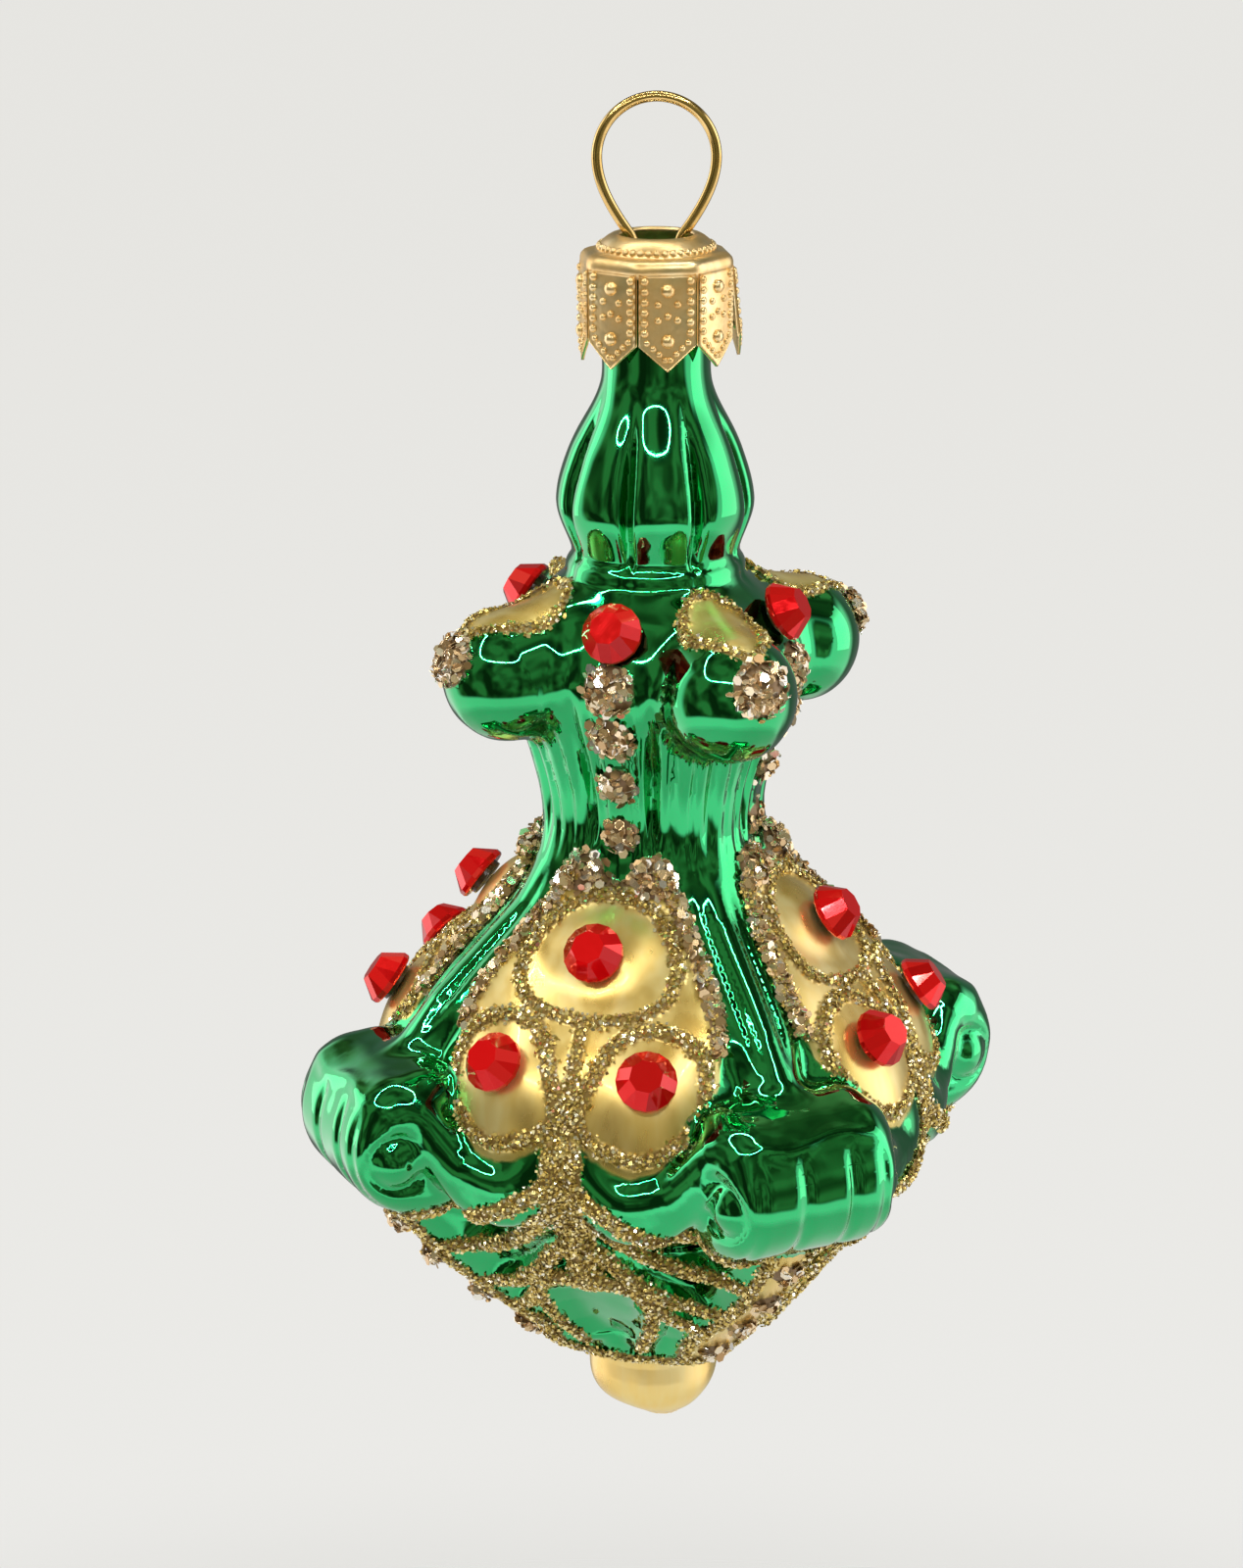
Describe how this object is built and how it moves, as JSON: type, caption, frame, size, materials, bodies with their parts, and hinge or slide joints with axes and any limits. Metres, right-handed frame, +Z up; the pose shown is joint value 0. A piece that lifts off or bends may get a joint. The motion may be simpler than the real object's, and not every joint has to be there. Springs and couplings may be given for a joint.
{
  "type": "lantern ornament",
  "caption": "Green mirrored glass hanging ornament shaped as a four-sided lantern with gold petals, red stones, glitter trim, a crown cap and a wire loop.",
  "frame": {"origin": "where a hook bears: the inner top of the hanger loop, on the ornament's upright axis", "axes": "+Z up along the ornament's axis; -Y out of the front face, +X out of the right face"},
  "size_m": [0.0406, 0.0406, 0.0902],
  "materials": {
    "gold_wire": "bright gold-coloured spring wire",
    "gold_sheet": "pressed gold-coloured sheet, satin",
    "green_glass": "blown glass, silvered inside, clear green lacquer outside, gold lacquer on the petals, strips and foot",
    "glue": "set clear glue over dark foil",
    "red_crystal": "faceted, foiled back",
    "gold_glitter": "fine metallised glitter in adhesive",
    "bronze_glitter": "coarse metallised glitter in adhesive"
  },
  "bodies": {
    "hanger": {"hanger_wire": "gold_wire"},
    "cap": {"crown_cap": "gold_sheet"},
    "glass": {"glass_body": "green_glass", "glue_pads": "glue", "eave_stone_front": "red_crystal", "eave_stone_right": "red_crystal", "eave_stone_back": "red_crystal", "eave_stone_left": "red_crystal", "petal_stone_top_front": "red_crystal", "petal_stone_top_right": "red_crystal", "petal_stone_top_back": "red_crystal", "petal_stone_top_left": "red_crystal", "petal_stone_left_front": "red_crystal", "petal_stone_left_right": "red_crystal", "petal_stone_left_back": "red_crystal", "petal_stone_left_left": "red_crystal", "petal_stone_right_front": "red_crystal", "petal_stone_right_right": "red_crystal", "petal_stone_right_back": "red_crystal", "petal_stone_right_left": "red_crystal", "petal_bead_front": "gold_glitter", "petal_bead_right": "gold_glitter", "petal_bead_back": "gold_glitter", "petal_bead_left": "gold_glitter", "leaf_bead_front": "gold_glitter", "leaf_bead_right": "gold_glitter", "leaf_bead_back": "gold_glitter", "leaf_bead_left": "gold_glitter", "column_dabs_front": "bronze_glitter", "column_dabs_right": "bronze_glitter", "column_dabs_back": "bronze_glitter", "column_dabs_left": "bronze_glitter", "roof_bead_front": "gold_glitter", "roof_bead_right": "gold_glitter", "roof_bead_back": "gold_glitter", "roof_bead_left": "gold_glitter", "roof_dab_front": "bronze_glitter", "roof_dab_right": "bronze_glitter", "roof_dab_back": "bronze_glitter", "roof_dab_left": "bronze_glitter", "bowl_dabs_front": "bronze_glitter", "bowl_dabs_right": "bronze_glitter", "bowl_dabs_back": "bronze_glitter", "bowl_dabs_left": "bronze_glitter"}
  },
  "joints": [
    {"name": "hanger_swivel", "type": "hinge", "parent": "hanger", "child": "cap", "pos_m": [0, 0, -0.0086], "axis": [0, 0, 1], "continuous": true},
    {"name": "cap_pull", "type": "slide", "parent": "cap", "child": "glass", "axis": [0, 0, -1], "range_m": [0, 0.015]}
  ]
}
